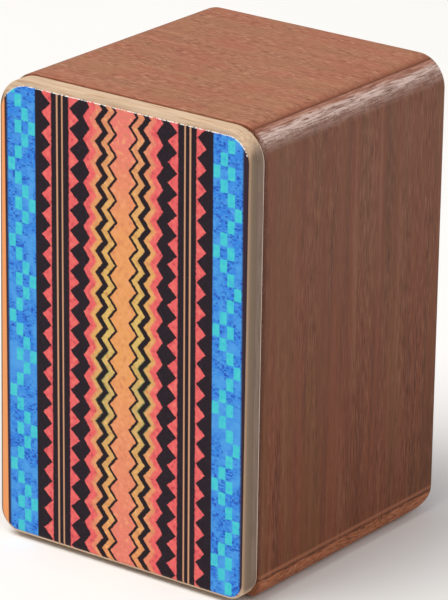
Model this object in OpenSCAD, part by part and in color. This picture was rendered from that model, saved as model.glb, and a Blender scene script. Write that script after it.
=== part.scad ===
// Box shaker in the form of a small wooden drum box. Five plywood panels and a rounded front plate
// close a chamber, a printed film covers the plate, and loose steel pellets lie in the chamber.
// Units are millimetres. The origin is the middle of the footprint, +Z is up, the front faces -Y.

/* [Body] */
// Width over the two side panels
body_w = 63.9; // [50:0.1:90]
// Height of the body
body_h = 100; // [70:0.5:160]
// Depth of the body, from behind the front plate to the back
body_d = 62.3; // [46:0.1:90]
// Radius of the two upper long edges, which run from front to back
body_head_r = 6.7; // [4:0.1:12]
// Radius of the two lower long edges
body_foot_r = 4.2; // [3:0.1:10]
// Radius of the eased edge round the back
body_back_ease = 1.4; // [0.4:0.1:1.6]
// Radius of the rounded edge across the foot at the back
foot_back_r = 9; // [4:0.1:10.5]
// How far behind the front plate the foot starts to rise to the plate's lower edge
foot_front_run = 4; // [2:0.1:8]

/* [Panels] */
// Thickness of the side panels, which run over the full height
side_t = 3.5; // [3:0.1:6]
// Thickness of the top panel, which sits between the sides
top_t = 3.5; // [3:0.1:6]
// Thickness of the bottom panel, which sits between the sides
bottom_t = 3.5; // [3:0.1:6]
// Thickness of the back panel, which sits inside the other four
back_t = 3.5; // [3:0.1:6]

/* [Front plate] */
// Thickness of the front plate
plate_t = 4.1; // [3:0.1:8]
// Distance of the plate's edge in from each side of the body
plate_side_inset = 0.25; // [0:0.05:1]
// Distance of the plate's edge below the top of the body
plate_top_inset = 0.2; // [0:0.05:1]
// Height of the plate's lower edge above the foot of the body
plate_bottom_inset = 1.1; // [0.3:0.05:3]
// Radius of the plate's two upper corners
plate_head_r = 7; // [4:0.1:12]
// Radius of the plate's two lower corners
plate_foot_r = 4.8; // [3:0.1:10]
// Radius of the plate's rounded front edge
plate_front_ease = 1.1; // [0.5:0.05:2]
// Radius of the eased edges on both sides of the glue line behind the plate
seam_ease = 0.25; // [0.1:0.05:0.5]

/* [Printed film] */
// Thickness of the film
film_t = 0.2; // [0.1:0.02:0.4]
// Distance of the film's edge from the left side of the plate
film_left_margin = 0.15; // [0.1:0.05:3]
// Distance of the film's edge from the right side of the plate
film_right_margin = 1.25; // [0.1:0.05:3]
// Distance of the film's edge from the top of the plate
film_top_margin = 1.35; // [0.1:0.05:4]
// Distance of the film's edge from the bottom of the plate
film_bottom_margin = 0.15; // [0.1:0.05:3]
// Radius of the film's two upper corners
film_head_r = 5; // [2:0.1:10]
// Radius of the film's two lower corners
film_foot_r = 4; // [2:0.1:10]
// Least distance of the film from the plate's outline, which trims the film at the corners
film_edge_margin = 0.15; // [0.1:0.05:1]

/* [Pellets] */
// Diameter of a steel pellet
pellet_d = 5; // [3:0.1:6]
// Pellets across the width of the chamber
pellet_cols = 6; // [3:1:6]
// Pellets along the depth of the chamber
pellet_rows = 6; // [3:1:6]
// Room under a pellet that lies on the bottom panel
pellet_rest_gap = 0.1; // [0.05:0.05:0.5]

/* [Hidden] */
// Facets of a drawn circle
$fn = 96;
// How far a cutting block reaches past the form that it cuts
cut_over = 2;

// Planes along the depth, from the printed face to the back
depth = film_t + plate_t + body_d;
body_front_y = plate_t + film_t - depth / 2;
body_back_y = depth / 2;

// Arc on which the foot rises to the plate's lower edge
foot_front_r = (foot_front_run * foot_front_run / plate_bottom_inset + plate_bottom_inset) / 2;

// Outline of the front plate
plate_w = body_w - 2 * plate_side_inset;
plate_h = body_h - plate_top_inset - plate_bottom_inset;
plate_z = plate_bottom_inset + plate_h / 2;

// Outline of the film on the plate
film_w = plate_w - film_left_margin - film_right_margin;
film_h = plate_h - film_top_margin - film_bottom_margin;
film_x = (film_left_margin - film_right_margin) / 2;
film_z = plate_bottom_inset + film_bottom_margin + film_h / 2;

// Closed chamber between the panels
chamber_w = body_w - 2 * side_t;
chamber_d = body_d - back_t;
chamber_h = body_h - top_t - bottom_t;

// Pellets lie in rows, each in the middle of its own column of the chamber
pellet_count = pellet_cols * pellet_rows;
pellet_pitch_x = chamber_w / pellet_cols;
pellet_pitch_y = chamber_d / pellet_rows;
pellet_z = bottom_t + pellet_rest_gap + pellet_d / 2;

function pellet_name(n) = str("pellet_", n < 10 ? "0" : "", n);
function pellet_x(n) = ((n - 1) % pellet_cols + 0.5) * pellet_pitch_x - chamber_w / 2;
function pellet_y(n) = (floor((n - 1) / pellet_cols) + 0.5) * pellet_pitch_y + body_front_y;

// Cross-section of a board of thickness t from its middle to one edge, which is rounded at both faces
module edge_profile(reach, t, face_r, back_r) {
    translate([0, back_r]) square([reach, t - face_r - back_r]);
    square([reach - back_r, t / 2]);
    translate([0, t / 2]) square([reach - face_r, t / 2]);
    translate([reach - face_r, t - face_r]) circle(face_r);
    translate([reach - back_r, back_r]) circle(back_r);
}

// Straight stretch of a board's edge, of length l along Y, that reaches along X
module board_run(reach, l, t, face_r, back_r) {
    translate([0, l / 2, 0])
        rotate([90, 0, 0])
            linear_extrude(l)
                edge_profile(reach, t, face_r, back_r);
}

// Round corner of a board, turned about its own upright axis
module board_corner(r, t, face_r, back_r) {
    rotate_extrude()
        intersection() {
            edge_profile(r, t, face_r, back_r);
            square([r, t]);
        }
}

// Board that lies on z = 0 with its head at +Y, with round corners and rounded edges at both faces
module rounded_board(w, h, t, head_r, foot_r, face_r, back_r) {
    for (turn = [0, 180])
        translate([0, (foot_r - head_r) / 2, 0])
            rotate(turn)
                board_run(w / 2, h - head_r - foot_r, t, face_r, back_r);
    rotate(90) board_run(h / 2, w - 2 * head_r, t, face_r, back_r);
    rotate(-90) board_run(h / 2, w - 2 * foot_r, t, face_r, back_r);
    for (side = [-1, 1]) {
        translate([side * (w / 2 - head_r), h / 2 - head_r, 0])
            board_corner(head_r, t, face_r, back_r);
        translate([side * (w / 2 - foot_r), foot_r - h / 2, 0])
            board_corner(foot_r, t, face_r, back_r);
    }
}

// Waste below an arc across the foot, from the arc's lowest point at arc_y over a length along Y
module foot_waste(arc_y, arc_r, length) {
    translate([0, arc_y, arc_r])
        difference() {
            translate([-body_w / 2 - cut_over, min(length, 0), -arc_r - cut_over])
                cube([body_w + 2 * cut_over, abs(length), arc_r + cut_over]);
            rotate([0, 90, 0])
                cylinder(r = arc_r, h = body_w + 4 * cut_over, center = true);
        }
}

// Outer form of the body before it is divided into panels
module body_form() {
    difference() {
        translate([0, body_front_y, body_h / 2])
            mirror([0, 1, 0])
                rotate([90, 0, 0])
                    rounded_board(body_w, body_h, body_d, body_head_r, body_foot_r, body_back_ease, seam_ease);
        foot_waste(body_back_y - foot_back_r, foot_back_r, foot_back_r + cut_over);
        foot_waste(body_front_y + foot_front_run, foot_front_r, -foot_front_run - cut_over);
    }
}

// Outer form of the front plate, made larger at its edges and its face by grow
module plate_form(grow) {
    translate([0, body_front_y, plate_z])
        rotate([90, 0, 0])
            rounded_board(
                plate_w + 2 * grow, plate_h + 2 * grow, plate_t + grow,
                plate_head_r + grow, plate_foot_r + grow, plate_front_ease + grow, seam_ease
            );
}

// Block from x0 to x1 and z0 to z1 through the whole depth of the body
module depth_block(x0, x1, z0, z1) {
    translate([x0, body_front_y - cut_over, z0])
        cube([x1 - x0, body_d + 2 * cut_over, z1 - z0]);
}

// Prism with round corners through the front of the plate, the head at +Z
module outline_prism(w, h, head_r, foot_r) {
    translate([0, body_front_y - seam_ease, 0])
        rotate([90, 0, 0])
            linear_extrude(plate_t + film_t + cut_over) {
                translate([-w / 2, foot_r - h / 2]) square([w, h - head_r - foot_r]);
                translate([head_r - w / 2, 0]) square([w - 2 * head_r, h / 2]);
                translate([foot_r - w / 2, -h / 2]) square([w - 2 * foot_r, h / 2]);
                for (side = [-1, 1]) {
                    translate([side * (w / 2 - head_r), h / 2 - head_r]) circle(head_r);
                    translate([side * (w / 2 - foot_r), foot_r - h / 2]) circle(foot_r);
                }
            }
}

module side_panel() {
    intersection() {
        body_form();
        depth_block(chamber_w / 2, body_w / 2 + cut_over, -cut_over, body_h + cut_over);
    }
}

module right_side() {
    color([0.44, 0.29, 0.23]) side_panel();
}

module left_side() {
    color([0.44, 0.29, 0.23]) mirror([1, 0, 0]) side_panel();
}

module top_panel() {
    color([0.67, 0.45, 0.36])
        intersection() {
            body_form();
            depth_block(-chamber_w / 2, chamber_w / 2, body_h - top_t, body_h + cut_over);
        }
}

module bottom_panel() {
    color([0.55, 0.36, 0.28])
        intersection() {
            body_form();
            depth_block(-chamber_w / 2, chamber_w / 2, -cut_over, bottom_t);
        }
}

module back_panel() {
    color([0.55, 0.36, 0.28])
        intersection() {
            body_form();
            translate([-chamber_w / 2, body_back_y - back_t, bottom_t])
                cube([chamber_w, back_t + cut_over, chamber_h]);
        }
}

module front_plate() {
    color([0.84, 0.71, 0.58]) plate_form(0);
}

module printed_film() {
    trim = 2 * film_edge_margin;
    color([0.91, 0.42, 0.40])
        intersection() {
            difference() {
                plate_form(film_t);
                plate_form(0);
            }
            translate([film_x, 0, film_z])
                outline_prism(film_w, film_h, film_head_r, film_foot_r);
            translate([0, 0, plate_z])
                outline_prism(
                    plate_w - trim, plate_h - trim,
                    plate_head_r - film_edge_margin, plate_foot_r - film_edge_margin
                );
        }
}

module pellet(n) {
    color([0.72, 0.73, 0.75])
        translate([pellet_x(n), pellet_y(n), pellet_z])
            sphere(d = pellet_d);
}

right_side();
left_side();
top_panel();
bottom_panel();
back_panel();
front_plate();
printed_film();
for (n = [1:pellet_count])
    pellet(n);
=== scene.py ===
import math
import bmesh
import bpy
from mathutils import Matrix, Vector


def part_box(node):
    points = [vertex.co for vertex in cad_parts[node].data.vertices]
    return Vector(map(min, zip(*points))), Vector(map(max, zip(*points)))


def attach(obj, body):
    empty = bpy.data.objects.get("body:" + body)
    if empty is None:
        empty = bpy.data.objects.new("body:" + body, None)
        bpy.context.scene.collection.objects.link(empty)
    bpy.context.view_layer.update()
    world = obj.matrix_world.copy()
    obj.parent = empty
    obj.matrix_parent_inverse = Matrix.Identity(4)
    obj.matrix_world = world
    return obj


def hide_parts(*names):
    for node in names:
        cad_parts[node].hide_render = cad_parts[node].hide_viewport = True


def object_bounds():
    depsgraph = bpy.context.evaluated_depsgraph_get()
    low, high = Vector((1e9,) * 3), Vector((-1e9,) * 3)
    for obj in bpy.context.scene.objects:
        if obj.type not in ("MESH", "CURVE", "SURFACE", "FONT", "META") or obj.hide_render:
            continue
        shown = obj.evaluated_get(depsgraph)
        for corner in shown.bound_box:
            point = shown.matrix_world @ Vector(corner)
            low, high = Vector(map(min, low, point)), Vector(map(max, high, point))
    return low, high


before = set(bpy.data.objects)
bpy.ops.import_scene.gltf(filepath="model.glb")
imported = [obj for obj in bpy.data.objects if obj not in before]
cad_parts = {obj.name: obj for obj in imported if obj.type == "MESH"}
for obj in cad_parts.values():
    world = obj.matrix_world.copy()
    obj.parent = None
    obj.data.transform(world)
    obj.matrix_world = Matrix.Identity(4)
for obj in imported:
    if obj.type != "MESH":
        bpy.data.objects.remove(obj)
cadLow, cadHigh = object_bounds()
mm = 0.001
sideLow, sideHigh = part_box("right_side")
topLow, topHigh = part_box("top_panel")
bottomLow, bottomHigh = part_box("bottom_panel")
backLow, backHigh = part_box("back_panel")
plateLow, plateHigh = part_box("front_plate")
print("frame loaded with", len(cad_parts), "nodes")

# where the camera stood: metres and degrees, with the lens and sensor in mm
photoView = {
    "aim": (0.0, 0.0006, 0.05),
    "yaw": 36.369,
    "pitch": 20.185,
    "roll": 0.9015,
    "distance": 0.87797,
    "slideRight": 0.0001175,
    "slideUp": -0.0008993,
    "lens": 255.24,
    "sensor": 36.0,
    "near": 0.01,
    "far": 50.0,
}


def addObject(name, data):
    thing = bpy.data.objects.new(name, data)
    bpy.context.scene.collection.objects.link(thing)
    return thing


def placeCamera(view):
    yaw, pitch, roll = [math.radians(view[turn]) for turn in ("yaw", "pitch", "roll")]
    back = Vector((
        math.sin(yaw) * math.cos(pitch),
        -math.cos(yaw) * math.cos(pitch),
        math.sin(pitch),
    ))
    level = Vector((math.cos(yaw), math.sin(yaw), 0))
    upright = back.cross(level)
    right = level * math.cos(roll) + upright * math.sin(roll)
    up = upright * math.cos(roll) - level * math.sin(roll)
    spot = Vector(view["aim"]) + back * view["distance"]
    spot += right * view["slideRight"] + up * view["slideUp"]
    lensData = bpy.data.cameras.new("photoCamera")
    lensData.lens = view["lens"]
    lensData.sensor_width = view["sensor"]
    lensData.clip_start = view["near"]
    lensData.clip_end = view["far"]
    camera = addObject("photoCamera", lensData)
    turn = Matrix((right, up, back)).transposed().to_4x4()
    camera.matrix_world = Matrix.Translation(spot) @ turn
    bpy.context.scene.camera = camera


placeCamera(photoView)
bpy.context.scene.view_settings.view_transform = "Standard"
print("camera placed")


# colours are given as they look on a screen, 0 to 255
def screenColor(r, g, b):
    parts = []
    for level in (r, g, b):
        level /= 255
        parts.append(level / 12.92 if level <= 0.04045 else ((level + 0.055) / 1.055) ** 2.4)
    return (*parts, 1.0)


# in a look, a tuple is a colour and a list is a group of settings
def tonesOf(look):
    return {key: screenColor(*v) if isinstance(v, tuple) else v for key, v in look.items()}


def addNode(tree, kind, wires=None, **settings):
    node = tree.nodes.new(kind)
    for key, value in settings.items():
        setattr(node, key, value)
    for key, value in (wires or {}).items():
        if isinstance(value, bpy.types.NodeSocket):
            tree.links.new(value, node.inputs[key])
        else:
            node.inputs[key].default_value = value
    return node


# adds a node to the tree that its wires come from, and gives one output
def flow(kind, wires, output=0, **settings):
    tree = next(v.id_data for v in wires.values() if isinstance(v, bpy.types.NodeSocket))
    return addNode(tree, kind, wires, **settings).outputs[output]


def calc(step, *terms):
    return flow("ShaderNodeMath", dict(enumerate(terms)), operation=step)


def vectorCalc(step, *terms):
    return flow("ShaderNodeVectorMath", dict(enumerate(terms)), operation=step)


def axesOf(vector):
    return list(addNode(vector.id_data, "ShaderNodeSeparateXYZ", {0: vector}).outputs)


def axesInMm(place):
    return axesOf(vectorCalc("MULTIPLY", place, [1 / mm] * 3))


def part(share, strength):
    return calc("MULTIPLY", share, strength)


def offFrom(value, line):
    return calc("ABSOLUTE", calc("SUBTRACT", value, line))


# noise, which is 0.5 on average, moves a value to and fro
def swayed(value, noise, amount):
    return calc("MULTIPLY_ADD", calc("SUBTRACT", noise, 0.5), amount, value)


# runs from 0 at start to the strength at end
def fade(value, start, end, strength=1.0):
    wires = {0: value, 1: start, 2: end, 4: strength}
    return flow("ShaderNodeMapRange", wires, interpolation_type="SMOOTHSTEP")


# 1 past an edge and 0 before it, softened over a width
def beyond(value, edge, soft):
    return fade(value, edge - soft / 2, edge + soft / 2)


def within(value, edge, soft):
    return fade(value, edge + soft / 2, edge - soft / 2)


def bandShare(value, low, high, soft):
    return part(beyond(value, low, soft), within(value, high, soft))


def paintOver(share, under, over):
    return flow("ShaderNodeMix", {0: share, 6: under, 7: over}, 2, data_type="RGBA")


def mixHeights(share, first, second):
    return flow("ShaderNodeMix", {0: share, 2: first, 3: second})


def colorRamp(value, stops):
    node = addNode(value.id_data, "ShaderNodeValToRGB", {0: value})
    while len(node.color_ramp.elements) < len(stops):
        node.color_ramp.elements.new(0.5)
    for element, (spot, color) in zip(node.color_ramp.elements, stops):
        element.position = spot
        element.color = screenColor(*color)
    return node.outputs[0]


# noise drawn out along one axis, as wood fibre is; marks are: per mm, stretch, detail, shift
def fibreNoise(place, grain, marks, shift=0.0, roughness=0.55):
    perMm, stretch, detail, offset = marks
    rate = [perMm / mm] * 3
    rate[grain] *= stretch
    wires = {"Vector": place, "Location": [shift + offset] * 3, "Scale": rate}
    spread = flow("ShaderNodeMapping", wires)
    wires = {"Vector": spread, "Scale": 1.0, "Detail": detail, "Roughness": roughness}
    return flow("ShaderNodeTexNoise", wires)


def fibreSet(place, look, grain, *names):
    return [fibreNoise(place, grain, look[name], look["shift"]) for name in names]


def newMaterial(name):
    material = bpy.data.materials.new(name)
    material.use_nodes = True
    tree = material.node_tree
    tree.nodes.clear()
    shader = addNode(tree, "ShaderNodeBsdfPrincipled")
    addNode(tree, "ShaderNodeOutputMaterial", {"Surface": shader.outputs[0]})
    return material, shader, addNode(tree, "ShaderNodeTexCoord").outputs


def pointValue(shader, name):
    return addNode(shader.id_data, "ShaderNodeAttribute", attribute_name=name).outputs["Fac"]


def dressShader(shader, look, color, rough, height):
    strength, depth = look["bump"]
    bump = flow("ShaderNodeBump", {"Height": height, "Strength": strength, "Distance": depth})
    for label, value in (("Base Color", color), ("Roughness", rough), ("Normal", bump)):
        shader.id_data.links.new(value, shader.inputs[label])
    shader.inputs["Specular IOR Level"].default_value = look["shine"]


studio = {
    "sky": 0.38,
    "skyColor": (250, 250, 252),
    "floorRadius": 4.0,
    "floorSegments": 96,
    "floorDrop": 0.0001,
    "floorColor": (247, 247, 246),
    "floorDim": (243, 243, 242),
    "floorMottle": [0.01, 1.0, 2.0, 0.0],
    "floorRough": 0.9,
    # name: place, size, watts, colour
    "lamps": {
        "keyLamp": ((-0.8, -1.1, 3.0), 2.2, 92.0, (255, 252, 247)),
        "fillLamp": ((2.0, -0.7, 1.3), 2.4, 16.0, (255, 253, 250)),
    },
    "lampAim": [0.0, 0.0, 0.05],
}


def buildFloor(look):
    disc = bmesh.new()
    segments, radius = look["floorSegments"], look["floorRadius"]
    bmesh.ops.create_circle(disc, cap_ends=True, segments=segments, radius=radius)
    bmesh.ops.translate(disc, verts=disc.verts, vec=(0, 0, -look["floorDrop"]))
    mesh = bpy.data.meshes.new("studioFloor")
    disc.to_mesh(mesh)
    disc.free()
    floor = addObject("studioFloor", mesh)
    material, shader, texture = newMaterial("paleFloor")
    cloudy = fibreNoise(texture["Object"], 2, look["floorMottle"])
    color = paintOver(cloudy, look["floorColor"], look["floorDim"])
    shader.id_data.links.new(color, shader.inputs["Base Color"])
    shader.inputs["Roughness"].default_value = look["floorRough"]
    mesh.materials.append(material)


def buildStudio(look):
    world = bpy.data.worlds.new("softSky")
    world.use_nodes = True
    sky = world.node_tree.nodes["Background"]
    sky.inputs["Color"].default_value = look["skyColor"]
    sky.inputs["Strength"].default_value = look["sky"]
    bpy.context.scene.world = world
    aim = Vector(look["lampAim"])
    for name, (spot, size, watts, color) in look["lamps"].items():
        lamp = bpy.data.lights.new(name, "AREA")
        lamp.size = size
        lamp.energy = watts
        lamp.color = screenColor(*color)[:3]
        holder = addObject(name, lamp)
        holder.location = spot
        holder.rotation_euler = (aim - Vector(spot)).to_track_quat("-Z", "Y").to_euler()
    buildFloor(look)


buildStudio(tonesOf(studio))
print("floor and lamps placed")

# red-brown veneer on a paler core, which shows where the round edges are sanded through
veneerLook = {
    # core: the pale ply's own tone, painted paler still as painted sheen
    "core": (210, 184, 175),
    "coreStreak": (158, 128, 118),
    "inner": (176, 130, 112),
    "innerStreak": (146, 96, 78),
    # foot: the core painted darker and warmer near the foot, as painted shade
    "foot": (174, 104, 66),
    "footStreak": (136, 78, 46),
    "footLight": (156, 98, 70),
    "seam": (124, 70, 50),
    "crack": (104, 66, 54),
    # dark glue line, which also serves as painted shade behind the front plate
    "jointAndShade": (96, 58, 44),
    # fibre marks
    "pores": [2.9, 0.12, 1.0, 11],
    "lines": [2.7, 0.07, 3.0, 17],
    "cracks": [3.6, 0.09, 1.0, 23],
    "tooth": [2.2, 0.28, 3.0, 29],
    "flecks": [2.8, 0.22, 2.0, 37],
    # noise levels between which a mark comes in, and its strength where it isn't full
    "patchIn": [0.40, 0.60],
    "busyIn": [0.38, 0.62, 0.65],
    "calm": 0.35,
    "shadeIn": [0.50, 0.70],
    "lightIn": [0.50, 0.30],
    "poreIn": [0.60, 0.72],
    "coreStreakIn": [0.44, 0.62],
    "innerStreakIn": [0.36, 0.62],
    "footStreakIn": [0.42, 0.66],
    "footPoreIn": [0.53, 0.68, 0.8],
    "footGlintIn": [0.47, 0.32, 0.5],
    "crackIn": [0.60, 0.67],
    "crackMix": 0.7,
    "dashIn": [0.45, 0.62, 0.6],
    "seamMix": 0.75,
    "lipMix": 0.5,
    "lipFall": 9.0,
    # depths below the face, heights above the foot and distances from an edge, in mm
    "feather": 1.3,
    "innerSkin": [2.3, 1.2],
    "plySway": 1.6,
    "toothSway": -1.2,
    "hazeDepth": [0.0, 0.6],
    "edgeDepth": [0.05, 0.7],
    "paintedLightHeight": [10, 110],
    "footShadeHeight": [9, 6],
    "footSway": 0.5,
    "bandLine": 4.65,
    "bandSoft": 0.15,
    "dashNear": [0.42, 0.12],
    "lightLine": 5.45,
    "lightNear": [0.55, 0.15, 0.8],
    "rearZone": [1.6, 0.8],
    "rearHeight": [94, 90],
    "rearKept": 0.8,
    "jointShadeZone": [0.45, 0.2],
    # surface
    "gloss": 0.52,
    "hairRough": 0.16,
    "poreRough": 0.15,
    "shine": 0.22,
    "poreDip": -0.7,
    "crackDip": -1.2,
    "bump": [0.5, 0.05 * mm],
}
# face veneers: axes of the fibre, tones, fibre marks, and how far the edges are sanded;
# the depth below a face is an axis in mm, times a sign, plus a start
shadedSideSheet = {
    "grain": 2,
    "coreGrain": 1,
    "shift": 0.0,
    "depth": [0, -1, cadHigh.x / mm],
    # painted shade: these tones are the top's veneer painted darker, standing in for the shade on the
    # sides
    "rosy": (116, 62, 38),
    "tan": (111, 66, 38),
    "shade": (85, 45, 28),
    "light": (136, 87, 63),
    "pore": (62, 33, 22),
    "patch": [0.24, 0.05, 2.0, 0],
    "busy": [0.2, 0.06, 1.0, 41],
    "streak": [0.42, 0.04, 2.0, 3],
    "hair": [2.5, 0.10, 2.0, 7],
    "streakMix": 0.5,
    "hairMix": 0.75,
    "poreMix": 0.36,
    "skin": 0.24,
    "seamFall": 4.0,
    # painted shade where the side meets the front plate
    "jointShadeMix": 0.45,
    "haze": 0.3,
    # painted light: share of the paler tone painted towards the head
    "paintedHeadLight": 0.055,
    "edgeShade": 0.0,
}
topSheet = {
    "grain": 0,
    "coreGrain": 1,
    "shift": 31.0,
    "depth": [2, -1, cadHigh.z / mm],
    "rosy": (164, 103, 79),
    "tan": (160, 110, 82),
    "shade": (130, 78, 58),
    "light": (187, 133, 107),
    "pore": (108, 62, 46),
    "patch": [0.16, 0.45, 2.0, 0],
    "busy": [0.2, 0.5, 1.0, 41],
    "streak": [0.7, 0.04, 2.0, 3],
    "hair": [2.5, 0.2, 2.0, 7],
    "streakMix": 0.3,
    "hairMix": 1.0,
    "poreMix": 0.55,
    "skin": 0.95,
    "seamFall": 1.2,
    "jointShadeMix": 0.0,
    "haze": 0.0,
    "paintedHeadLight": 0.0,
    "edgeShade": 0.5,
}
# the bottom and the back take the side's tones, which are painted shade
bottomSheet = {**shadedSideSheet, "grain": 0, "shift": 57.0, "depth": [2, 1, -cadLow.z / mm]}
backSheet = {**shadedSideSheet, "coreGrain": 0, "shift": 83.0, "depth": [1, -1, cadHigh.y / mm]}


# patches of two tones, streaks, short fibre that comes and goes, and open pores
def faceColor(place, look):
    names = ("patch", "busy", "streak", "hair", "pores")
    patch, busy, streak, hair, pores = fibreSet(place, look, look["grain"], *names)
    lively = calc("ADD", fade(busy, *look["busyIn"]), look["calm"])
    face = paintOver(fade(patch, *look["patchIn"]), look["rosy"], look["tan"])
    for noise, mix in ((streak, look["streakMix"]), (hair, part(lively, look["hairMix"]))):
        for tone in ("shade", "light"):
            face = paintOver(fade(noise, *look[tone + "In"], mix), face, look[tone])
    poreShare = fade(pores, *look["poreIn"], lively)
    face = paintOver(part(poreShare, look["poreMix"]), face, look["pore"])
    return face, hair, poreShare


# lines of fibre with small cracks, a duller ply below them, and a warm band along the foot; the
# core's pale tone is partly painted sheen, and towards the foot it is painted darker and warmer as
# painted shade
def coreColor(place, look, depth, z):
    names = ("lines", "cracks", "flecks")
    lines, cracks, flecks = fibreSet(place, look, look["coreGrain"], *names)
    core, inner, foot = [
        paintOver(fade(lines, *look[ply + "StreakIn"]), look[ply], look[ply + "Streak"])
        for ply in ("core", "inner", "foot")
    ]
    uneven = swayed(depth, lines, look["plySway"])
    core = paintOver(beyond(uneven, *look["innerSkin"]), core, inner)
    crackShare = fade(cracks, *look["crackIn"])
    core = paintOver(part(crackShare, look["crackMix"]), core, look["crack"])
    for mark, tone in (("footPoreIn", "pore"), ("footGlintIn", "inner")):
        foot = paintOver(fade(flecks, *look[mark]), foot, look[tone])
    # painted shade: towards the foot the core takes its darker, warmer tone
    core = paintOver(fade(z, *look["footShadeHeight"]), core, foot)
    return core, lines, cracks, crackShare


def veneerMaterial(name, sheet):
    look = {**tonesOf(veneerLook), **tonesOf(sheet)}
    material, shader, texture = newMaterial(name)
    place = texture["Object"]
    axes = axesInMm(place)
    y, z = axes[1:]
    axis, sign, start = look["depth"]
    depth = calc("MULTIPLY_ADD", calc("ABSOLUTE", axes[axis]), sign, start)
    face, hair, poreShare = faceColor(place, look)
    core, lines, cracks, crackShare = coreColor(place, look, depth, z)
    # face and core are feathered into each other along the fibre of the face
    [tooth] = fibreSet(place, look, look["grain"], "tooth")
    ragged = swayed(depth, tooth, look["toothSway"])
    coreShare = fade(ragged, look["skin"], look["skin"] + look["feather"])
    coreShare = calc("MAXIMUM", coreShare, fade(depth, *look["hazeDepth"], look["haze"]))
    # the upright edges at the back are hardly sanded
    rearEdges = [sideHigh.y / mm - gap for gap in look["rearZone"]]
    rear = fade(y, *rearEdges, fade(z, *look["rearHeight"]))
    coreShare = part(coreShare, calc("MULTIPLY_ADD", rear, -look["rearKept"], 1.0))
    # painted light: paler towards the head, where more light falls on the sides; and darker along the
    # seam
    face = paintOver(fade(z, *look["paintedLightHeight"], look["paintedHeadLight"]), face, look["core"])
    face = paintOver(fade(depth, *look["edgeDepth"], look["edgeShade"]), face, look["seam"])
    # the foot band has a broken dark line along its top and a light one above it
    level = swayed(z, lines, look["footSway"])
    bandLine = look["bandLine"]
    coreShare = calc("MAXIMUM", coreShare, fade(level, bandLine, bandLine - look["bandSoft"]))
    color = paintOver(coreShare, face, core)
    light = fade(offFrom(level, look["lightLine"]), *look["lightNear"])
    color = paintOver(light, color, look["footLight"])
    dashes = fade(offFrom(level, bandLine), *look["dashNear"], fade(cracks, *look["dashIn"]))
    color = paintOver(dashes, color, look["pore"])
    # glue lines at the seam and behind the plate, with painted shade on the sides where they meet the
    # plate
    seam = pointValue(shader, "seam")
    for fall, mix, tone in (("seamFall", "seamMix", "seam"), ("lipFall", "lipMix", "jointAndShade")):
        share = part(calc("POWER", seam, look[fall]), look[mix])
        color = paintOver(share, color, look[tone])
    # painted shade: the sides are darkened just behind the front plate
    jointShadeEdges = [sideLow.y / mm + gap for gap in look["jointShadeZone"]]
    color = paintOver(fade(y, *jointShadeEdges, look["jointShadeMix"]), color, look["jointAndShade"])
    rough = calc("MULTIPLY_ADD", hair, look["hairRough"], look["gloss"])
    rough = calc("MULTIPLY_ADD", poreShare, look["poreRough"], rough)
    grooves = calc("MULTIPLY_ADD", poreShare, look["poreDip"], hair)
    corded = calc("MULTIPLY_ADD", crackShare, look["crackDip"], lines)
    dressShader(shader, look, color, rough, mixHeights(coreShare, grooves, corded))
    return material


boxForm = {
    "headRadius": 6.7 * mm,
    "footRadius": 4.2 * mm,
    "frontEase": 0.25 * mm,
    "backEase": 1.4 * mm,
    "footBackRadius": 9.0 * mm,
    "footFrontRun": 4.0 * mm,
    "seamEase": 0.09 * mm,
    "seamFade": 0.7 * mm,
    "fadeShare": 0.9,
    "flatLead": 0.8 * mm,
    "arcSteps": 22,
    "flatSteps": 6,
    "fadeSteps": 5,
    "lipSteps": 4,
    "easeSteps": 6,
    "footSteps": 16,
    "capLip": 0.06 * mm,
    "sharpAngle": 40.0,
    "weld": 0.0002 * mm,
    "thinEnd": 0.05 * mm,
}


def arcRun(cx, cz, radius, start, end, steps):
    turns = [start + (end - start) * i / steps for i in range(steps + 1)]
    return [(cx + radius * math.cos(a), cz + radius * math.sin(a)) for a in turns]


# rounds a corner between two points with a small bend towards the corner
def easedCorner(before, corner, after, steps):
    points = []
    for i in range(steps + 1):
        t = i / steps
        weights = ((1 - t) ** 2, 2 * t * (1 - t), t * t)
        trio = (before, corner, after)
        points.append(tuple(sum(w * p[k] for w, p in zip(weights, trio)) for k in (0, 1)))
    return points


# runs along the round edge from a start angle to the seam, then onto the face inside it;
# the marks say how near a point is to the seam
def seamArc(form, inset, atHead, seamX, start, steps):
    radius = form["headRadius"] if atHead else form["footRadius"]
    lean = 1 if atHead else -1
    cx = sideHigh.x - radius
    cz = topHigh.z - radius if atHead else bottomLow.z + radius
    bend = radius - inset
    seamTurn = math.acos((seamX - cx) / bend)
    way = 1 if seamTurn > start else -1
    ease = form["seamEase"] / bend
    room = abs(seamTurn - start) - ease
    soft = min(form["seamFade"] / bend, room * form["fadeShare"])
    near = seamTurn - way * ease
    far = near - way * soft
    count = form["fadeSteps"]
    sweep = arcRun(cx, cz, bend, lean * start, lean * far, steps)
    close = arcRun(cx, cz, bend, lean * far, lean * near, count)[1:]
    corner = (seamX, cz + lean * bend * math.sin(seamTurn))
    below = (seamX, corner[1] - lean * form["seamEase"])
    lip = easedCorner(close[-1], corner, below, form["lipSteps"])[1:]
    under = (seamX, below[1] - lean * form["seamFade"])
    marks = [0] * len(sweep) + [(i + 1) / count for i in range(count)] + [1] * len(lip) + [0]
    return sweep + close + lip + [under], marks


def sideOutline(form, inset):
    head, headMarks = seamArc(form, inset, True, sideLow.x, 0, form["arcSteps"])
    foot, footMarks = seamArc(form, inset, False, sideLow.x, 0, form["arcSteps"])
    return head + foot[::-1], headMarks + footMarks[::-1]


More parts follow.
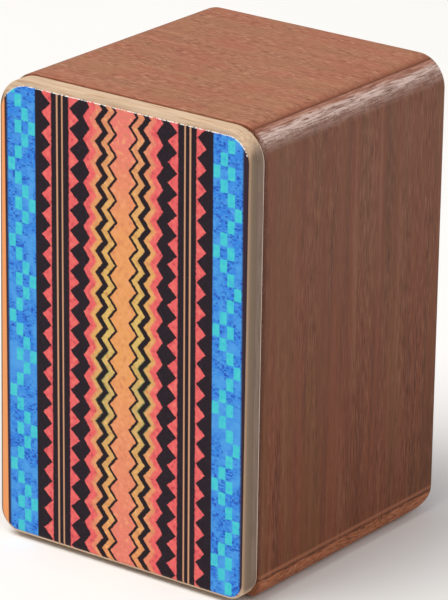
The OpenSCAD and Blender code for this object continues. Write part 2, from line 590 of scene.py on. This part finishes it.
# top or bottom panel: a flat face, an arc down to the seam at both ends, and the end faces
def crossOutline(form, inset, atHead=True):
    run, marks = seamArc(form, inset, atHead, topHigh.x, math.pi / 2, form["flatSteps"])
    flatStart = (run[0][0] - form["flatLead"], run[0][1])
    last = (topHigh.x, topLow.z if atHead else bottomHigh.z)
    right = [flatStart] + run + [last]
    marks = [0] + marks + [0]
    left = [(-px, pz) for px, pz in right]
    return right + left[::-1], marks + marks[::-1]


def bottomOutline(form, inset):
    return crossOutline(form, inset, False)


# back panel: a plain board, its rim eased towards the panels round it
def backOutline(form, inset):
    half = backHigh.x - inset
    low = backLow.z + inset
    high = backHigh.z - inset
    ease = form["seamEase"]
    corners = [(half, high), (half, low), (-half, low), (-half, high)]
    points = []
    for i, corner in enumerate(corners):
        prior = Vector(corners[i - 1])
        later = Vector(corners[(i + 1) % 4])
        spot = Vector(corner)
        before = spot + (prior - spot).normalized() * ease
        after = spot + (later - spot).normalized() * ease
        points += easedCorner(before, corner, after, form["lipSteps"])
    return points, [0] * len(points)


# moves a closed outline inwards by a small gap
def drawnIn(points, gap):
    later = points[1:] + points[:1]
    area = sum(px * qz - qx * pz for (px, pz), (qx, qz) in zip(points, later))
    way = 1 if area > 0 else -1
    moved = []
    for i, point in enumerate(points):
        along = Vector(later[i]) - Vector(points[i - 1])
        inward = Vector((-along.y, along.x)).normalized() * way
        moved.append(tuple(Vector(point) + inward * gap))
    return moved


# height of the foot at a depth: it rises to the front plate and is rounded across the back
def footRise(form, y):
    bend = form["footBackRadius"]
    over = y - (sideHigh.y - bend)
    if over < 0:
        run = form["footFrontRun"]
        rise = plateLow.z - bottomLow.z
        bend = (run * run / rise + rise) / 2
        over = max(sideLow.y + run - y, 0)
    return bottomLow.z + bend - math.sqrt(max(bend * bend - over * over, 0))


# depth and inset of the rings round an eased edge
def easeRings(form, edge, ease, way):
    turns = [math.pi / 2 * i / form["easeSteps"] for i in range(form["easeSteps"] + 1)]
    return [(edge + way * ease * (1 - math.cos(a)), ease * (1 - math.sin(a))) for a in turns]


# all rings of a panel, from an eased front edge to a rounded back edge
def depthRings(form, front, back, frontEase, backEase):
    rings = easeRings(form, front, frontEase, 1)
    for i in range(1, form["footSteps"]):
        rings.append((sideLow.y + form["footFrontRun"] * i / form["footSteps"], 0))
        turn = math.pi / 2 * i / form["footSteps"]
        rings.append((sideHigh.y - form["footBackRadius"] * (1 - math.sin(turn)), 0))
    rings = [ring for ring in rings if ring[0] < back - backEase]
    rings = [ring for ring in rings if ring[1] or ring[0] > front + frontEase]
    return sorted(rings + easeRings(form, back, backEase, -1))


# joins a row of loops with faces and closes both ends
def skinLoops(bm, loops):
    count = len(loops[0])
    for near, far in zip(loops, loops[1:]):
        for i in range(count):
            j = (i + 1) % count
            bm.faces.new((near[i], near[j], far[j], far[i]))
    bm.faces.new(loops[0])
    bm.faces.new(loops[-1][::-1])


def panelMesh(outlineAt, form, front, back, frontEase, backEase, flip=1, ceiling=math.inf):
    bm = bmesh.new()
    seamLayer = bm.verts.layers.float.new("seam")
    rows = []
    for spot, inset in depthRings(form, front, back, frontEase, backEase):
        points, marks = outlineAt(form, inset)
        rise = min(footRise(form, spot), ceiling)
        rows.append((spot, [(px, max(pz, rise)) for px, pz in points]))
    rows.insert(0, (rows[0][0], drawnIn(rows[0][1], form["capLip"])))
    rows.append((rows[-1][0], drawnIn(rows[-1][1], form["capLip"])))
    loops = []
    for spot, points in rows:
        loop = []
        for (px, pz), mark in zip(points, marks):
            vert = bm.verts.new((flip * px, spot, pz))
            vert[seamLayer] = mark
            loop.append(vert)
        loops.append(loop)
    skinLoops(bm, loops)
    bmesh.ops.remove_doubles(bm, verts=bm.verts, dist=form["weld"])
    bmesh.ops.dissolve_degenerate(bm, edges=bm.edges, dist=form["weld"])
    return bm


# outward faces, smooth but for the sharp edges
def fillMesh(bm, mesh):
    bmesh.ops.recalc_face_normals(bm, faces=bm.faces)
    bm.to_mesh(mesh)
    bm.free()
    mesh.shade_smooth()
    mesh.set_sharp_from_angle(angle=math.radians(boxForm["sharpAngle"]))


# the body that a piece moves with, and the solid that it stands for
def seatPiece(piece, body, node):
    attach(piece, body)
    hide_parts(node)


def finishPiece(name, bm, material, node):
    mesh = bpy.data.meshes.new(name)
    fillMesh(bm, mesh)
    mesh.materials.append(material)
    seatPiece(addObject(name, mesh), "box", node)


def buildPanels(form):
    front, back = sideLow.y, sideHigh.y
    frontEase, backEase = form["frontEase"], form["backEase"]
    shadedSideVeneer = veneerMaterial("shadedSideVeneer", shadedSideSheet)
    topVeneer = veneerMaterial("topVeneer", topSheet)
    bottomVeneer = veneerMaterial("bottomVeneer", bottomSheet)
    backVeneer = veneerMaterial("backVeneer", backSheet)
    boards = [
        ("rightSide", sideOutline, shadedSideVeneer, "right_side", 1),
        ("leftSide", sideOutline, shadedSideVeneer, "left_side", -1),
        ("topPanel", crossOutline, topVeneer, "top_panel", 1),
    ]
    for name, outlineAt, veneer, node, flip in boards:
        board = panelMesh(outlineAt, form, front, back, frontEase, backEase, flip)
        finishPiece(name, board, veneer, node)
    # the bottom runs out to a thin edge where the foot is rounded across the back
    thin = form["thinEnd"]
    lid = bottomHigh.z - thin
    bottom = panelMesh(bottomOutline, form, front, bottomHigh.y, frontEase, thin, ceiling=lid)
    finishPiece("bottomPanel", bottom, bottomVeneer, "bottom_panel")
    rear = panelMesh(backOutline, form, backLow.y, backHigh.y, form["seamEase"], form["seamEase"])
    finishPiece("backPanel", rear, backVeneer, "back_panel")


buildPanels(boxForm)
print("five veneered panels built")

# pale plywood of the front plate: thin faces on a thick core
plateLook = {
    "head": (214, 186, 156),
    "headStreak": (182, 142, 110),
    "headDim": (196, 168, 142),
    "face": (180, 148, 120),
    # the face ply painted darker, as painted shade on its sideways rim
    "shadedRind": (124, 104, 86),
    "core": (136, 115, 101),
    "coreStreak": (118, 97, 85),
    "backPly": (228, 206, 190),
    "line": (96, 74, 58),
    # fibre marks
    "shift": 0.0,
    "streak": [2.4, 0.05, 3.0, 5.0],
    "broad": [0.9, 0.08, 2.0, 9.0],
    "upright": [2.4, 0.06, 3.0, 21.0],
    "dots": [3.5, 0.4, 1.0, 13.0],
    # noise levels between which a mark comes in, and its strength where it isn't full
    "streakIn": [0.45, 0.72],
    "broadIn": [0.45, 0.7, 0.7],
    "coreIn": [0.42, 0.68],
    "dotsIn": [0.5, 0.75, 0.4],
    # share of sideways facing that makes an upright edge
    "sideFacing": [0.45, 0.75],
    "leastFacing": 0.001,
    # depths from the front and distances from the side edge, in mm
    "shadedRindZone": [1.25, 0.3],
    "facePly": [1.2, 0.12],
    "corePly": [3.2, 0.2],
    "plySway": 0.35,
    "lineNear": [0.14, 0.04, 0.55],
    # surface
    "gloss": 0.58,
    "streakRough": 0.15,
    "shine": 0.3,
    "bump": [0.35, 0.05 * mm],
}
# the sizes are inputs of the plate's node tree
plateForm = {
    "sizes": {
        "Head Radius": 7.0 * mm,
        "Foot Radius": 4.8 * mm,
        "Face Ease": 1.1 * mm,
        "Back Ease": 0.25 * mm,
        "Reach": 3.0 * mm,
    },
    "cornerSteps": 28,
    "easeSteps": 8,
    "weld": 0.001 * mm,
}


# share of an upright edge, against the head and the foot
def uprightShare(look, normal):
    facing = axesOf(normal)
    sideways = calc("ABSOLUTE", facing[0])
    total = calc("ADD", sideways, calc("ABSOLUTE", facing[2]))
    total = calc("ADD", total, look["leastFacing"])
    return fade(calc("DIVIDE", sideways, total), *look["sideFacing"])


def plateMaterial(look):
    material, shader, texture = newMaterial("platePlywood")
    place = texture["Object"]
    x, y = axesInMm(place)[:2]
    endShare = uprightShare(look, texture["Normal"])
    # head and foot edges: streaks from left to right
    streak, broad = fibreSet(place, look, 0, "streak", "broad")
    head = paintOver(fade(streak, *look["streakIn"]), look["head"], look["headStreak"])
    head = paintOver(fade(broad, *look["broadIn"]), head, look["headDim"])
    # upright edges: a thin face painted darker near its rim, as painted shade where it turns
    # sideways, a dull core and a pale back
    upright, dots = fibreSet(place, look, 2, "upright", "dots")
    depth = calc("SUBTRACT", y, plateLow.y / mm)
    ply = swayed(depth, upright, look["plySway"])
    edge = calc("SUBTRACT", plateHigh.x / mm, calc("ABSOLUTE", x))
    rim = paintOver(fade(edge, *look["shadedRindZone"]), look["face"], look["shadedRind"])
    core = paintOver(fade(upright, *look["coreIn"]), look["core"], look["coreStreak"])
    core = paintOver(fade(dots, *look["dotsIn"]), core, look["coreStreak"])
    rim = paintOver(beyond(ply, *look["facePly"]), rim, core)
    rim = paintOver(beyond(ply, *look["corePly"]), rim, look["backPly"])
    line = fade(offFrom(ply, look["facePly"][0]), *look["lineNear"])
    rim = paintOver(line, rim, look["line"])
    color = paintOver(endShare, head, rim)
    rough = calc("MULTIPLY_ADD", streak, look["streakRough"], look["gloss"])
    dressShader(shader, look, color, rough, mixHeights(endShare, streak, dots))
    return material


def newTree(name, sizes):
    tree = bpy.data.node_groups.new(name, "GeometryNodeTree")
    inputs = [(label, "NodeSocketFloat") for label in sizes]
    inputs += [("Centre", "NodeSocketVector"), ("Finish", "NodeSocketMaterial")]
    keys = {}
    for label, kind in inputs:
        socket = tree.interface.new_socket(name=label, in_out="INPUT", socket_type=kind)
        keys[label] = socket.identifier
    tree.interface.new_socket(name="Geometry", in_out="OUTPUT", socket_type="NodeSocketGeometry")
    return tree, keys, addNode(tree, "NodeGroupInput").outputs


def endTree(tree, geometry, finish):
    real = flow("GeometryNodeRealizeInstances", {0: geometry})
    painted = flow("GeometryNodeSetMaterial", {"Geometry": real, "Material": finish})
    addNode(tree, "NodeGroupOutput", {0: painted})


# runs a node tree on an empty mesh and keeps the result as a plain mesh
def meshFromTree(name, tree, keys, values):
    piece = addObject(name, bpy.data.meshes.new(name))
    modifier = piece.modifiers.new(name, "NODES")
    modifier.node_group = tree
    for label, value in values.items():
        modifier[keys[label]] = value
    graph = bpy.context.evaluated_depsgraph_get()
    made = bpy.data.meshes.new_from_object(piece.evaluated_get(graph), depsgraph=graph)
    piece.modifiers.remove(modifier)
    piece.data = made
    made.name = name
    return piece


# the sockets of a comparison start at 0 for decimals and at 2 for whole numbers
def compare(kind, step, one, other):
    first = 0 if kind == "FLOAT" else 2
    wires = {first: one, first + 1: other}
    return flow("FunctionNodeCompare", wires, data_type=kind, operation=step)


def roundCorners(curve, count, test, radiusElse, radiusIf):
    wires = {"Switch": test, "False": radiusElse, "True": radiusIf}
    radius = flow("GeometryNodeSwitch", wires, input_type="FLOAT")
    wires = {"Curve": curve, "Count": count, "Radius": radius}
    return flow("GeometryNodeFilletCurve", wires, mode="POLY")


# the outline of the plate and the profile of its edge, both with round corners
def plateCurves(tree, form, given, half, below, height):
    wires = {"Width": given["Width"], "Height": given["Height"]}
    rectangle = flow("GeometryNodeCurvePrimitiveQuadrilateral", wires, mode="RECTANGLE")
    isHead = compare("FLOAT", "GREATER_THAN", height, 0.0)
    radii = (given["Foot Radius"], given["Head Radius"])
    outline = roundCorners(rectangle, form["cornerSteps"], isHead, *radii)
    inside = calc("MULTIPLY", given["Reach"], -1.0)
    wires = {}
    for i, (px, py) in enumerate([(inside, half), (0.0, half), (0.0, below), (inside, below)]):
        wires[f"Point {i + 1}"] = flow("ShaderNodeCombineXYZ", {0: px, 1: py})
    edge = flow("GeometryNodeCurvePrimitiveQuadrilateral", wires, mode="POINTS")
    opened = flow("GeometryNodeSetSplineCyclic", {"Geometry": edge, "Cyclic": False})
    index = addNode(tree, "GeometryNodeInputIndex").outputs[0]
    isFace = compare("INT", "EQUAL", index, 1)
    radii = (given["Back Ease"], given["Face Ease"])
    profile = roundCorners(opened, form["easeSteps"], isFace, *radii)
    return outline, profile


# front plate: the edge profile carried round the outline, and two flat faces
def plateTree(form):
    tree, keys, given = newTree("plateTree", ["Width", "Height", "Thickness", *form["sizes"]])
    height, level = axesOf(addNode(tree, "GeometryNodeInputPosition").outputs[0])[1:]
    half = calc("MULTIPLY", given["Thickness"], 0.5)
    below = calc("MULTIPLY", given["Thickness"], -0.5)
    outline, profile = plateCurves(tree, form, given, half, below, height)
    rim = flow("GeometryNodeCurveToMesh", {"Curve": outline, "Profile Curve": profile})
    join = addNode(tree, "GeometryNodeJoinGeometry", {0: rim})
    # the two open loops of the rim are filled
    neighbours = addNode(tree, "GeometryNodeInputMeshEdgeNeighbors").outputs[0]
    isOpen = compare("INT", "EQUAL", neighbours, 1)
    for lift, step in ((half, "GREATER_THAN"), (below, "LESS_THAN")):
        wires = {0: isOpen, 1: compare("FLOAT", step, level, 0.0)}
        both = flow("FunctionNodeBooleanMath", wires, operation="AND")
        loop = flow("GeometryNodeMeshToCurve", {"Mesh": rim, "Selection": both})
        fill = flow("GeometryNodeFillCurve", {"Curve": loop}, mode="NGONS")
        wires = {"Geometry": fill, "Translation": flow("ShaderNodeCombineXYZ", {2: lift})}
        tree.links.new(flow("GeometryNodeTransform", wires), join.inputs[0])
    wires = {"Geometry": join.outputs[0], "Distance": form["weld"]}
    whole = flow("GeometryNodeMergeByDistance", wires)
    # stood upright, with its face to the front
    upright = (math.pi / 2, 0, 0)
    wires = {"Geometry": whole, "Translation": given["Centre"], "Rotation": upright}
    endTree(tree, flow("GeometryNodeTransform", wires), given["Finish"])
    return tree, keys


def buildPlate(form):
    tree, keys = plateTree(form)
    size = plateHigh - plateLow
    piece = meshFromTree("frontPlate", tree, keys, {
        "Width": size.x,
        "Height": size.z,
        "Thickness": size.y,
        **form["sizes"],
        "Centre": (plateLow + plateHigh) / 2,
        "Finish": plateMaterial(tonesOf(plateLook)),
    })
    bm = bmesh.new()
    bm.from_mesh(piece.data)
    fillMesh(bm, piece.data)
    seatPiece(piece, "box", "front_plate")


buildPlate(plateForm)
print("front plate built")

# printed film, with the distances of its rings from the cut edge in mm
filmForm = {
    "headRadius": 5.0 * mm,
    "leftHeadRadius": 7.2 * mm,
    "footRadius": 4.0 * mm,
    "edgeMargin": 0.15 * mm,
    "thickness": 0.2 * mm,
    "left": 0.15 * mm,
    "right": 1.25 * mm,
    "head": 1.35 * mm,
    "foot": 0.15 * mm,
    "cutShows": 0.5 * mm,
    "cutDrop": 3.5 * mm,
    "probe": 0.01 * mm,
    "cornerSteps": 24,
    "rings": [0.0, 0.06, 0.13, 0.2, 0.3, 0.42, 0.56, 0.72, 0.9, 1.1, 1.35, 1.7],
}
# upright bands of zigzags, triangles, lines and checks, in mm from the middle of the print
filmLook = {
    "centre": [-0.20 * mm, 0.0, 50.79 * mm],
    "stretch": [1.002, 1.0, 0.999],
    "tilt": -0.53,
    "lean": 0.007,
    "middle": 0.35,
    "zigPeriod": 4.585,
    "zigStart": 3.29,
    "zigSwing": 0.95,
    "coralSwing": 0.82,
    "stripeEdge": 2.29,
    "thinLine": 3.06,
    "yellowEdge": 4.54,
    "thickLine": 6.12,
    "amberEdge": 7.45,
    "amberSoft": 0.9,
    "amberMix": 0.55,
    "coralEdge": 9.15,
    "triPeriod": 4.277,
    "triStart": 0.70,
    "innerBase": 13.65,
    "innerHeight": 2.35,
    "outerBase": 18.15,
    "outerHeight": 2.25,
    "lines": [(15.17, 15.52), (16.44, 16.84)],
    "lineSoft": 0.24,
    "blueStart": 22.25,
    "blueEnd": 29.4,
    "rimLine": 30.1,
    "soft": 0.32,
    # checks: first row and row height at the left and the right, rows in a cycle, the doubled column
    "checkWidth": 1.75,
    "checkRows": [(-25.8, 2.717), (-26.1, 2.737)],
    "checkCycle": 6,
    "checkTwin": 2,
    "checkLead": 60.5,
    "checkSame": 0.25,
    "checkSoft": [0.60, 0.42],
    "checkMix": 0.92,
    # green cast along the thick zigzags, and a paler stretch of the blue, as shares of the height
    "castZone": [0.29, 0.47, 0.08],
    "castNear": [0.3, 0.0, 0.6],
    "paleZone": [0.355, 0.425, 0.05],
    "paleMix": 0.4,
    # noise: scales, and the levels between which it shows
    "rippleScale": 1.3,
    "ripple": 0.42,
    "fleckScale": 2.6,
    "mottleScale": 1.0,
    "cloudScale": 0.35,
    "grainScale": 6.0,
    "noiseDetail": 2.0,
    "speckCells": [1.8, 0.0, 3.0],
    "lowIn": [0.50, 0.82],
    "highIn": [0.50, 0.18],
    "darkFleckIn": [0.45, 0.75],
    "cloudIn": [0.4, 0.7],
    "speckIn": [0.62, 0.95],
    "speckClear": [0.68, 0.42, 0.8],
    "glintIn": [0.30, 0.05, 0.5],
    "cutNear": [0.15, 0.06],
    "cutIn": [0.34, 0.56],
    # tones, with the duller and the lighter tone of each mottled one
    "stripeRamp": [
        (0.05, (231, 124, 110)),
        (0.28, (231, 144, 102)),
        (0.45, (231, 160, 93)),
        (0.72, (231, 156, 95)),
        (0.92, (231, 122, 110)),
    ],
    "yellowRamp": [
        (0.03, (226, 148, 96)),
        (0.26, (214, 166, 100)),
        (0.38, (198, 172, 106)),
        (0.52, (214, 182, 100)),
        (0.74, (220, 168, 98)),
        (0.95, (220, 138, 104)),
    ],
    "stripeLow": (212, 130, 94),
    "stripeHigh": (238, 164, 118),
    "yellowLow": (198, 138, 78),
    "yellowHigh": (238, 190, 118),
    "coral": (231, 98, 99),
    "coralLow": (196, 64, 76),
    "coralHigh": (240, 126, 112),
    "turquoise": (64, 204, 212),
    "turquoiseLow": (58, 176, 214),
    "turquoiseHigh": (84, 216, 208),
    "cast": (82, 118, 70),
    "dark": (24, 10, 22),
    "darkFleck": (42, 24, 40),
    "line": (208, 154, 118),
    "blue": (48, 131, 224),
    "cloudBlue": (72, 156, 230),
    "deepBlue": (26, 60, 172),
    "paleBlue": (84, 164, 230),
    "rimDark": (44, 26, 44),
    "rim": (240, 157, 98),
    "paper": (246, 246, 246),
    # surface
    "gloss": 0.5,
    "grainRough": 0.14,
    "shine": 0.2,
    "bump": [0.12, 0.03 * mm],
}


def printNoise(look, vector, scale, output=0):
    wires = {"Vector": vector, "Scale": look[scale], "Detail": look["noiseDetail"]}
    return flow("ShaderNodeTexNoise", wires, output)


# where a point lies on the print: along and across it, with and without a ripple of the ink
def printPlace(look, place):
    wires = {
        "Vector": place,
        "Location": look["centre"],
        "Rotation": (0, math.radians(look["tilt"]), 0),
        "Scale": [mm * share for share in look["stretch"]],
    }
    turned = flow("ShaderNodeMapping", wires, vector_type="TEXTURE")
    ripple = vectorCalc("SUBTRACT", printNoise(look, turned, "rippleScale", 1), [0.5] * 3)
    rippled = axesOf(vectorCalc("MULTIPLY_ADD", ripple, [look["ripple"]] * 3, turned))
    across = calc("SUBTRACT", rippled[0], look["middle"])
    plainAcross = calc("SUBTRACT", axesOf(turned)[0], look["middle"])
    return {
        "turned": turned,
        "height": calc("DIVIDE", axesInMm(place)[2], cadHigh.z / mm),
        "across": across,
        "along": calc("MULTIPLY_ADD", across, -look["lean"], rippled[2]),
        "reach": calc("ABSOLUTE", across),
        "plainAcross": plainAcross,
        "plainReach": calc("ABSOLUTE", plainAcross),
    }


def mottled(look, mottle, name, base):
    duller = paintOver(fade(mottle, *look["lowIn"]), base, look[name + "Low"])
    return paintOver(fade(mottle, *look["highIn"]), duller, look[name + "High"])


# zigzags round the middle stripe, which swing the same way on both sides of it
def zigzagColor(look, spot, fleck, mottle, coral):
    half = look["zigPeriod"] / 2
    wave = calc("PINGPONG", calc("SUBTRACT", spot["along"], look["zigStart"]), half)
    wave = calc("MULTIPLY_ADD", wave, 2 / half, -1.0)
    swing = calc("MULTIPLY", wave, calc("SIGN", spot["across"]))
    zig = calc("MULTIPLY_ADD", swing, -look["zigSwing"], spot["reach"])
    zag = calc("MULTIPLY_ADD", swing, -look["coralSwing"], spot["reach"])
    stripe, yellow = [
        mottled(look, mottle, name, colorRamp(spot["height"], look[name + "Ramp"]))
        for name in ("stripe", "yellow")
    ]
    amber = paintOver(look["amberMix"], yellow, stripe)
    soft = look["soft"]
    color = paintOver(fade(fleck, *look["darkFleckIn"]), look["dark"], look["darkFleck"])
    color = paintOver(within(zag, look["coralEdge"], soft), color, coral)
    color = paintOver(within(zag, look["amberEdge"], look["amberSoft"]), color, amber)
    color = paintOver(within(zig, look["thickLine"], soft), color, look["dark"])
    color = paintOver(within(zig, look["yellowEdge"], soft), color, yellow)
    castZone = bandShare(spot["height"], *look["castZone"])
    for edge in ("thickLine", "yellowEdge"):
        near = fade(offFrom(zig, look[edge]), *look["castNear"])
        color = paintOver(part(near, castZone), color, look["cast"])
    color = paintOver(within(zig, look["thinLine"], soft), color, look["dark"])
    return paintOver(within(zig, look["stripeEdge"], soft), color, stripe)


# rows of triangles that point away from a pair of lines
def triangleColor(look, spot, color, coral):
    soft = look["soft"]
    half = look["triPeriod"] / 2
    phase = calc("PINGPONG", calc("SUBTRACT", spot["along"], look["triStart"]), half)
    point = calc("MULTIPLY_ADD", phase, -1 / half, 1.0)
    rows = [
        (calc("SUBTRACT", look["innerBase"], spot["reach"]), look["innerHeight"]),
        (calc("SUBTRACT", spot["reach"], look["outerBase"]), look["outerHeight"]),
    ]
    for rise, tall in rows:
        tip = calc("MULTIPLY_ADD", point, tall, soft / 2)
        below = within(calc("SUBTRACT", rise, tip), 0.0, soft)
        color = paintOver(part(beyond(rise, 0.0, soft), below), color, coral)
    for low, high in look["lines"]:
        share = bandShare(spot["plainReach"], low, high, look["lineSoft"])
        color = paintOver(share, color, look["line"])
    return color


# stepped rows of checks, which are not quite level in the two bands
def checkShare(look, spot):
    same = look["checkSame"]
    column = calc("SUBTRACT", spot["reach"], look["blueStart"])
    column = calc("DIVIDE", column, look["checkWidth"])
    (leftStart, leftHeight), (rightStart, rightHeight) = look["checkRows"]
    atRight = fade(spot["across"], -1, 1)
    start = calc("MULTIPLY_ADD", atRight, rightStart - leftStart, leftStart)
    rate = calc("MULTIPLY_ADD", atRight, 1 / rightHeight - 1 / leftHeight, 1 / leftHeight)
    row = calc("SUBTRACT", start, spot["along"])
    row = calc("MULTIPLY_ADD", row, rate, look["checkLead"])
    columnIndex = calc("FLOOR", column)
    rowIndex = calc("MODULO", calc("FLOOR", row), look["checkCycle"])
    step = calc("PINGPONG", rowIndex, look["checkCycle"] / 2)
    share = calc("COMPARE", columnIndex, step, same)
    firstRow = calc("COMPARE", rowIndex, 0.0, same)
    twin = part(firstRow, calc("COMPARE", columnIndex, look["checkTwin"], same))
    share = calc("MAXIMUM", share, twin)
    for cell in (column, row):
        offset = offFrom(calc("FRACT", cell), 0.5)
        share = fade(offset, *look["checkSoft"], share)
    return part(share, look["checkMix"])


# blue bands with clouds, dark and pale specks, and turquoise checks
def blueColor(look, spot, mottle):
    pale = bandShare(spot["height"], *look["paleZone"])
    cells = vectorCalc("FLOOR", vectorCalc("MULTIPLY", spot["turned"], look["speckCells"]))
    chance = flow("ShaderNodeTexWhiteNoise", {"Vector": cells})
    cloud = printNoise(look, spot["turned"], "cloudScale")
    blue = paintOver(fade(cloud, *look["cloudIn"]), look["blue"], look["cloudBlue"])
    speck = fade(chance, *look["speckIn"], fade(cloud, *look["speckClear"]))
    speck = part(speck, calc("SUBTRACT", 1.0, pale))
    blue = paintOver(speck, blue, look["deepBlue"])
    blue = paintOver(fade(chance, *look["glintIn"]), blue, look["paleBlue"])
    blue = paintOver(part(pale, look["paleMix"]), blue, look["paleBlue"])
    turquoise = mottled(look, mottle, "turquoise", look["turquoise"])
    return paintOver(checkShare(look, spot), blue, turquoise)


def printMaterial(look):
    material, shader, texture = newMaterial("printedFilm")
    spot = printPlace(look, texture["Object"])
    soft = look["soft"]
    fleck, mottle, grain = [
        printNoise(look, spot["turned"], scale)
        for scale in ("fleckScale", "mottleScale", "grainScale")
    ]
    coral = mottled(look, mottle, "coral", look["coral"])
    color = zigzagColor(look, spot, fleck, mottle, coral)
    color = triangleColor(look, spot, color, coral)
    inBand = beyond(spot["plainReach"], look["blueStart"], soft)
    color = paintOver(inBand, color, blueColor(look, spot, mottle))
    pastBand = beyond(spot["plainReach"], look["blueEnd"], 2 * soft)
    color = paintOver(pastBand, color, look["rimDark"])
    # the outer orange stripe shows on the left only
    atRim = within(spot["plainAcross"], -look["rimLine"], soft)
    color = paintOver(atRim, color, look["rim"])
    # white core of the film shows at its cut edge
    gap = pointValue(shader, "edgeGap")
    cut = fade(gap, *look["cutNear"], fade(fleck, *look["cutIn"]))
    color = paintOver(cut, color, look["paper"])
    rough = calc("MULTIPLY_ADD", grain, look["grainRough"], look["gloss"])
    dressShader(shader, look, color, rough, grain)
    return material


# distance of a point outside the plate's outline, negative inside
def plateGap(px, pz):
    middle = (plateLow + plateHigh) / 2
    half = (plateHigh - plateLow) / 2
    radius = plateForm["sizes"]["Head Radius" if pz > middle.z else "Foot Radius"]
    qx = abs(px - middle.x) - (half.x - radius)
    qz = abs(pz - middle.z) - (half.z - radius)
    return math.hypot(max(qx, 0), max(qz, 0)) + min(max(qx, qz), 0) - radius


# depth of the plate's rounded face, grown outwards
def plateFaceY(px, pz, grown):
    ease = plateForm["sizes"]["Face Ease"] + grown
    inside = grown - plateGap(px, pz)
    face = plateLow.y - grown
    if inside >= ease:
        return face
    return face + ease - math.sqrt(ease * ease - (ease - inside) ** 2)


# a rounded cut, rounder at the upper left, trimmed back where it reaches past the plate's margin
def filmOutline(form):
    left = plateLow.x + form["left"]
    right = plateHigh.x - form["right"]
    foot = plateLow.z + form["foot"]
    head = plateHigh.z - form["head"]
    quarter = math.pi / 2
    corners = [
        (right, head, form["headRadius"], -1, -1),
        (left, head, form["leftHeadRadius"], 1, -1),
        (left, foot, form["footRadius"], 1, 1),
        (right, foot, form["footRadius"], -1, 1),
    ]
    tiny = form["probe"]
    trimmed = []
    for i, (cx, cz, radius, wayX, wayZ) in enumerate(corners):
        midX, midZ = cx + wayX * radius, cz + wayZ * radius
        for px, pz in arcRun(midX, midZ, radius, i * quarter, (i + 1) * quarter, form["cornerSteps"]):
            over = plateGap(px, pz) + form["edgeMargin"]
            if over > 0:
                slope = Vector((
                    plateGap(px + tiny, pz) - plateGap(px - tiny, pz),
                    plateGap(px, pz + tiny) - plateGap(px, pz - tiny),
                )).normalized()
                px, pz = px - slope.x * over, pz - slope.y * over
            trimmed.append((px, pz))
    return trimmed


def buildFilm(form):
    outline = filmOutline(form)
    cutFoot = plateHigh.z - form["head"] - form["cutDrop"]
    farRing = form["rings"][-1]
    bm = bmesh.new()
    gapLayer = bm.verts.layers.float.new("edgeGap")
    loops = []
    for grown, rings in ((0.0, form["rings"][::-1]), (form["thickness"], form["rings"])):
        for ring in rings:
            points = drawnIn(outline, ring * mm) if ring else outline
            loop = []
            for (px, pz), rim in zip(points, outline):
                vert = bm.verts.new((px, plateFaceY(px, pz, grown), pz))
                cutShows = plateGap(*rim) < -form["cutShows"] and rim[1] > cutFoot
                vert[gapLayer] = ring if cutShows else farRing
                loop.append(vert)
            loops.append(loop)
    skinLoops(bm, loops)
    finishPiece("printedFilm", bm, printMaterial(tonesOf(filmLook)), "printed_film")


buildFilm(filmForm)
print("printed film built")

# loose steel shot, each ball with its own shallow dents
pelletForm = {
    "dent": 0.05 * mm,
    "dentScale": 420.0,
    "dentDetail": 1.0,
    "dentIn": [0.35, 0.65],
    "fineness": 4,
    "steel": (196, 198, 202),
    "dull": (150, 150, 152),
    "scuff": [1.2, 0.3, 4.0, 2.0],
    "scratch": [6.0, 0.08, 2.0, 6.0],
    "dullIn": [0.45, 0.7],
    "gloss": 0.24,
    "scuffRough": 0.3,
    "shine": 0.5,
    "bump": [0.25, 0.02 * mm],
}


def pelletMaterial(form):
    material, shader, texture = newMaterial("pelletSteel")
    scuff = fibreNoise(texture["Object"], 0, form["scuff"])
    scratch = fibreNoise(texture["Object"], 1, form["scratch"])
    color = paintOver(fade(scuff, *form["dullIn"]), form["steel"], form["dull"])
    shader.inputs["Metallic"].default_value = 1.0
    rough = calc("MULTIPLY_ADD", scuff, form["scuffRough"], form["gloss"])
    dressShader(shader, form, color, rough, scratch)
    return material


def pelletTree(form):
    tree, keys, given = newTree("pelletTree", ["Diameter", "Dent Depth", "Seed"])
    radius = calc("MULTIPLY", given["Diameter"], 0.5)
    ball = flow("GeometryNodeMeshIcoSphere", {"Radius": radius, "Subdivisions": form["fineness"]})
    wires = {"W": given["Seed"], "Scale": form["dentScale"], "Detail": form["dentDetail"]}
    noise = flow("ShaderNodeTexNoise", wires, noise_dimensions="4D")
    depth = calc("MULTIPLY", fade(noise, *form["dentIn"]), given["Dent Depth"])
    normal = addNode(tree, "GeometryNodeInputNormal").outputs[0]
    wires = {0: normal, "Scale": calc("MULTIPLY", depth, -1.0)}
    offset = flow("ShaderNodeVectorMath", wires, operation="SCALE")
    dented = flow("GeometryNodeSetPosition", {"Geometry": ball, "Offset": offset})
    smooth = flow("GeometryNodeSetShadeSmooth", {0: dented})
    spot = flow("GeometryNodePoints", {"Count": 1, "Position": given["Centre"]})
    laid = flow("GeometryNodeInstanceOnPoints", {"Points": spot, "Instance": smooth})
    endTree(tree, laid, given["Finish"])
    return tree, keys


def buildPellets(form):
    finish = pelletMaterial(form)
    tree, keys = pelletTree(form)
    names = sorted(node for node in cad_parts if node.startswith("pellet_"))
    for seed, node in enumerate(names):
        low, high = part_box(node)
        piece = meshFromTree("shot" + node[-2:], tree, keys, {
            "Diameter": high.z - low.z,
            "Dent Depth": form["dent"],
            "Seed": float(seed),
            "Centre": (low + high) / 2,
            "Finish": finish,
        })
        seatPiece(piece, node, node)
    print("pellets built:", len(names))


buildPellets(tonesOf(pelletForm))
